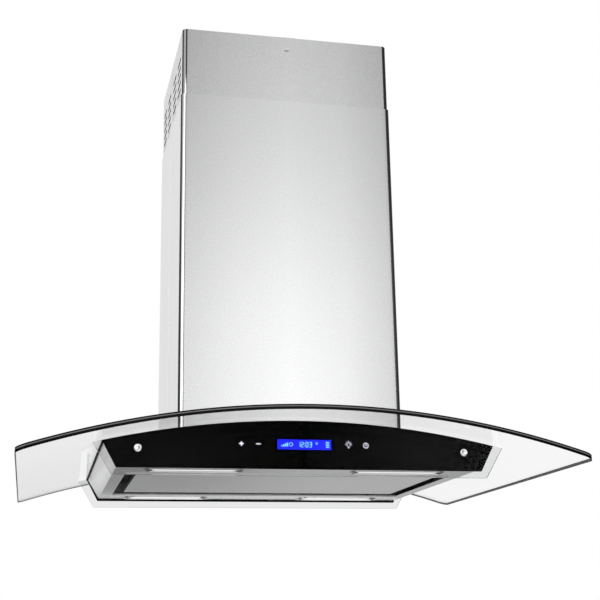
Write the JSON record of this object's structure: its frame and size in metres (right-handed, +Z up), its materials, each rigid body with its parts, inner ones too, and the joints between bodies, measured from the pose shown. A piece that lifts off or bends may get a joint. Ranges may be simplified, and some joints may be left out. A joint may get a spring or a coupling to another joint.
{
  "type": "island range hood",
  "caption": "Ceiling-hung island range hood: telescoping square steel chimney over an arched glass canopy, black glass control front, lamps, drop-down intake panel and centrifugal blower.",
  "frame": {"origin": "middle of the ceiling plate's top face, where the hood hangs from the ceiling", "axes": "+X to the right of someone facing the control panel, +Y away from them, +Z up to the ceiling"},
  "size_m": [0.9, 0.72, 0.819],
  "materials": {
    "brushed_steel": "brushed stainless, fine vertical grain",
    "zinc_steel": "zinc plated sheet steel, matt",
    "chrome": "polished chrome",
    "clear_glass": "clear tempered glass with polished edges",
    "black_backing": "gloss black",
    "black_plastic": "matt moulded black",
    "grey_plastic": "moulded grey, lightly textured",
    "black_rubber": "matt black seal",
    "aluminium": "satin",
    "lamp_lens": "frosted white diffuser",
    "blue_display": "lit blue display under clear glass",
    "circuit_board": "green solder mask"
  },
  "bodies": {
    "ceiling_frame": {"ceiling_plate": "zinc_steel", "upper_leg_front_left": "zinc_steel", "upper_leg_rear_left": "zinc_steel", "upper_leg_front_right": "zinc_steel", "upper_leg_rear_right": "zinc_steel", "leg_screw_front_left": "zinc_steel", "leg_screw_rear_left": "zinc_steel", "leg_screw_front_right": "zinc_steel", "leg_screw_rear_right": "zinc_steel", "upper_cover_front": "brushed_steel", "upper_cover_rear": "brushed_steel", "cover_screw_front": "zinc_steel", "cover_screw_rear": "zinc_steel"},
    "hood": {"base_frame": "zinc_steel", "lower_leg_front_left": "zinc_steel", "lower_leg_rear_left": "zinc_steel", "lower_leg_front_right": "zinc_steel", "lower_leg_rear_right": "zinc_steel", "motor_box": "zinc_steel", "supply_box": "black_plastic", "cable_gland": "grey_plastic", "blower_scroll": "grey_plastic", "fan_motor": "zinc_steel", "motor_bracket": "zinc_steel", "outlet_collar": "grey_plastic", "damper_pin": "zinc_steel", "canopy_glass": "clear_glass", "body_shell": "brushed_steel", "glass_seal_left": "black_rubber", "glass_seal_right": "black_rubber", "front_backing": "black_backing", "front_glass": "clear_glass", "rear_backing": "black_backing", "rear_glass": "clear_glass", "plate_cap_front_left": "chrome", "plate_cap_rear_left": "chrome", "plate_cap_front_right": "chrome", "plate_cap_rear_right": "chrome", "lcd_module": "blue_display", "control_board": "circuit_board", "lamp_front_left": "lamp_lens", "lamp_rear_left": "lamp_lens", "lamp_front_right": "lamp_lens", "lamp_rear_right": "lamp_lens", "filter_frame": "zinc_steel", "grease_filter_left": "aluminium", "grease_filter_right": "aluminium", "panel_hinge_pin_left": "zinc_steel", "panel_hinge_pin_right": "zinc_steel", "panel_catch_left": "black_plastic", "panel_catch_right": "black_plastic"},
    "chimney_cover": {"lower_cover_front": "brushed_steel", "lower_cover_rear": "brushed_steel"},
    "fan_rotor": {"impeller": "black_plastic", "motor_shaft": "chrome"},
    "damper_front": {"damper_flap_front": "black_plastic"},
    "damper_rear": {"damper_flap_rear": "black_plastic"},
    "panel": {"perimeter_panel": "brushed_steel"},
    "latch_left": {"filter_latch_left": "black_plastic"},
    "latch_right": {"filter_latch_right": "black_plastic"}
  },
  "joints": [
    {"name": "height_adjust", "type": "slide", "parent": "ceiling_frame", "child": "hood", "axis": [0, 0, 1], "range_m": [-0.25, 0]},
    {"name": "cover_lift", "type": "slide", "parent": "hood", "child": "chimney_cover", "axis": [0, 0, 1], "range_m": [0, 0.09]},
    {"name": "fan_spin", "type": "hinge", "parent": "hood", "child": "fan_rotor", "pos_m": [0, -0.038, -0.625], "axis": [1, 0, 0], "continuous": true},
    {"name": "damper_front_swing", "type": "hinge", "parent": "hood", "child": "damper_front", "pos_m": [0, 0.02032, -0.4807], "axis": [-1, 0, 0], "range_deg": [0, 78]},
    {"name": "damper_rear_swing", "type": "hinge", "parent": "hood", "child": "damper_rear", "pos_m": [0, 0.02032, -0.4807], "axis": [1, 0, 0], "range_deg": [0, 78]},
    {"name": "panel_drop", "type": "hinge", "parent": "hood", "child": "panel", "pos_m": [0, 0.142, -0.797], "axis": [1, 0, 0], "range_deg": [0, 85]},
    {"name": "filter_latch_left_slide", "type": "slide", "parent": "hood", "child": "latch_left", "axis": [0, 1, 0], "range_m": [0, 0.006], "stiffness_N_per_m": 250, "springref_m": -0.003},
    {"name": "filter_latch_right_slide", "type": "slide", "parent": "hood", "child": "latch_right", "axis": [0, 1, 0], "range_m": [0, 0.006], "stiffness_N_per_m": 250, "springref_m": -0.003}
  ]
}
